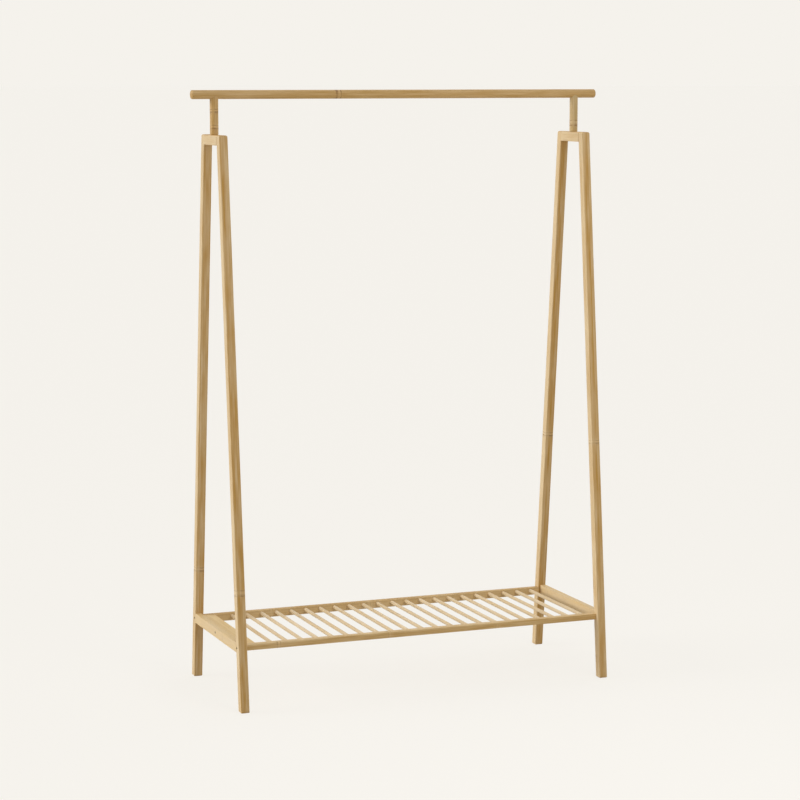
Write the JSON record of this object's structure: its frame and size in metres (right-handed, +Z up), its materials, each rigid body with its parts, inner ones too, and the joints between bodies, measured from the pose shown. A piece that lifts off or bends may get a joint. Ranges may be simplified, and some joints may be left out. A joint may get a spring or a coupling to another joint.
{
  "type": "coat rack",
  "caption": "Free-standing bamboo hanging rack: two leaning A-shaped end frames carry a round rail on short posts, with a low slatted shelf between the frames.",
  "frame": {"origin": "on the floor below the middle of the rack", "axes": "+X along the hanging rail to the right, -Y towards the front, +Z up"},
  "size_m": [1.08, 0.4192, 1.5],
  "materials": {
    "bamboo_frame": "satin lacquered laminated bamboo",
    "bamboo_round": "satin lacquered turned bamboo",
    "bamboo_shelf": "satin lacquered laminated bamboo",
    "bamboo_rung": "satin lacquered turned bamboo",
    "beech_dowel": "bare wood",
    "black_screw": "black oxide",
    "zinc_bolt": "zinc plated"
  },
  "bodies": {
    "root": {"back_shelf_rail": "bamboo_shelf", "block_dowels": "beech_dowel", "crossbar_dowels": "beech_dowel", "front_shelf_rail": "bamboo_shelf", "hanging_rail": "bamboo_round", "left_crossbar": "bamboo_frame", "left_end_slat": "bamboo_shelf", "left_front_leg": "bamboo_frame", "left_post": "bamboo_round", "left_rear_leg": "bamboo_frame", "left_top_block": "bamboo_frame", "post_bolts": "zinc_bolt", "rail_dowels": "beech_dowel", "right_crossbar": "bamboo_frame", "right_front_leg": "bamboo_frame", "right_post": "bamboo_round", "right_rear_leg": "bamboo_frame", "right_top_block": "bamboo_frame", "rung_01": "bamboo_rung", "rung_02": "bamboo_rung", "rung_03": "bamboo_rung", "rung_04": "bamboo_rung", "rung_05": "bamboo_rung", "rung_06": "bamboo_rung", "rung_07": "bamboo_rung", "rung_08": "bamboo_rung", "rung_09": "bamboo_rung", "rung_10": "bamboo_rung", "rung_11": "bamboo_rung", "rung_12": "bamboo_rung", "rung_13": "bamboo_rung", "rung_14": "bamboo_rung", "rung_15": "bamboo_rung", "rung_16": "bamboo_rung", "rung_17": "bamboo_rung", "rung_18": "bamboo_rung", "rung_19": "bamboo_rung", "rung_20": "bamboo_rung", "rung_21": "bamboo_rung", "rung_22": "bamboo_rung", "shelf_screws": "black_screw", "slat_dowels": "beech_dowel"}
  },
  "joints": []
}
